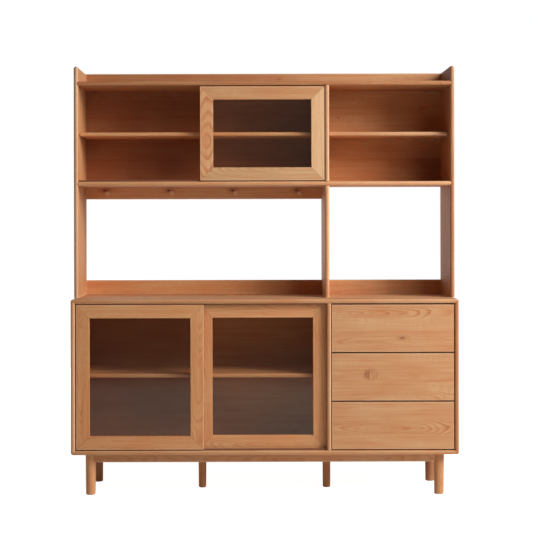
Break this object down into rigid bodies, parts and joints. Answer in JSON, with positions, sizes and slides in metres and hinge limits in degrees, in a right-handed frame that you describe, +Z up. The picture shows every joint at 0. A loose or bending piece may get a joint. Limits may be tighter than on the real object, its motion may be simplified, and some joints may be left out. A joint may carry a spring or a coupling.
{
  "type": "kitchen cabinet",
  "caption": "Cherry kitchen cabinet: low case with sliding smoked glass doors and drawers on round legs, upper cabinet with shelves, a sliding glass door, open niche and peg rail.",
  "frame": {"origin": "on the floor, at the middle of the cabinet's width and depth", "axes": "+X to the right seen from the front, the front faces -Y, +Z up"},
  "size_m": [1.6, 0.4, 1.788],
  "materials": {
    "cherry": "oiled cherry, satin",
    "cherry_front": "oiled cherry, satin",
    "cherry_frame": "oiled cherry, satin",
    "cherry_leg": "turned, oiled cherry",
    "cherry_panel": "oiled cherry veneer",
    "drawer_wood": "clear lacquered pale wood",
    "dowel_wood": "fluted beech",
    "smoked_glass": "smoked, polished",
    "nylon": "moulded nylon",
    "track_plastic": "extruded, brown",
    "steel": "zinc plated",
    "felt": "pressed felt"
  },
  "bodies": {
    "cabinet": {"worktop": "cherry", "case_bottom": "cherry", "case_side_left": "cherry", "case_side_right": "cherry", "case_divider": "cherry", "base_shelf": "cherry", "case_back_panels": "cherry_panel", "hutch_back": "cherry_panel", "apron_front": "cherry_frame", "apron_back": "cherry_frame", "side_aprons": "cherry_frame", "cross_rails": "cherry_frame", "leg_front_left": "cherry_leg", "leg_front_right": "cherry_leg", "leg_back_left": "cherry_leg", "leg_back_right": "cherry_leg", "middle_legs": "cherry_leg", "foot_pads": "felt", "frame_bolts": "steel", "shelf_supports": "steel", "base_door_tracks": "track_plastic", "hutch_door_tracks": "track_plastic", "cabinet_runners": "steel", "hutch_side_left": "cherry", "hutch_side_right": "cherry", "hutch_top_board": "cherry", "hutch_lower_board": "cherry", "hutch_divider": "cherry", "niche_divider": "cherry", "hutch_shelf_left": "cherry", "hutch_shelf_right": "cherry", "gallery_rail": "cherry", "backsplash": "cherry", "peg_rail": "cherry", "pegs": "cherry_leg", "hutch_dowels": "dowel_wood"},
    "door_left": {"door_left_stiles": "cherry_front", "door_left_rails": "cherry_front", "door_left_glass": "smoked_glass", "door_left_glides": "nylon"},
    "door_right": {"door_right_stiles": "cherry_front", "door_right_rails": "cherry_front", "door_right_glass": "smoked_glass", "door_right_glides": "nylon"},
    "hutch_door": {"hutch_door_stiles": "cherry_front", "hutch_door_rails": "cherry_front", "hutch_door_glass": "smoked_glass", "hutch_door_glides": "nylon"},
    "drawer_1": {"drawer_1_front": "cherry_front", "drawer_1_box": "drawer_wood", "drawer_1_bottom": "drawer_wood", "drawer_1_runners": "steel"},
    "drawer_2": {"drawer_2_front": "cherry_front", "drawer_2_box": "drawer_wood", "drawer_2_bottom": "drawer_wood", "drawer_2_runners": "steel"},
    "drawer_3": {"drawer_3_front": "cherry_front", "drawer_3_box": "drawer_wood", "drawer_3_bottom": "drawer_wood", "drawer_3_runners": "steel"}
  },
  "joints": [
    {"name": "door_left_slide", "type": "slide", "parent": "cabinet", "child": "door_left", "axis": [1, 0, 0], "range_m": [0, 0.504]},
    {"name": "door_right_slide", "type": "slide", "parent": "cabinet", "child": "door_right", "axis": [1, 0, 0], "range_m": [-0.504, 0]},
    {"name": "hutch_door_slide", "type": "slide", "parent": "cabinet", "child": "hutch_door", "axis": [1, 0, 0], "range_m": [-0.506, 0]},
    {"name": "drawer_1_slide", "type": "slide", "parent": "cabinet", "child": "drawer_1", "axis": [0, -1, 0], "range_m": [0, 0.3]},
    {"name": "drawer_2_slide", "type": "slide", "parent": "cabinet", "child": "drawer_2", "axis": [0, -1, 0], "range_m": [0, 0.3]},
    {"name": "drawer_3_slide", "type": "slide", "parent": "cabinet", "child": "drawer_3", "axis": [0, -1, 0], "range_m": [0, 0.3]}
  ]
}
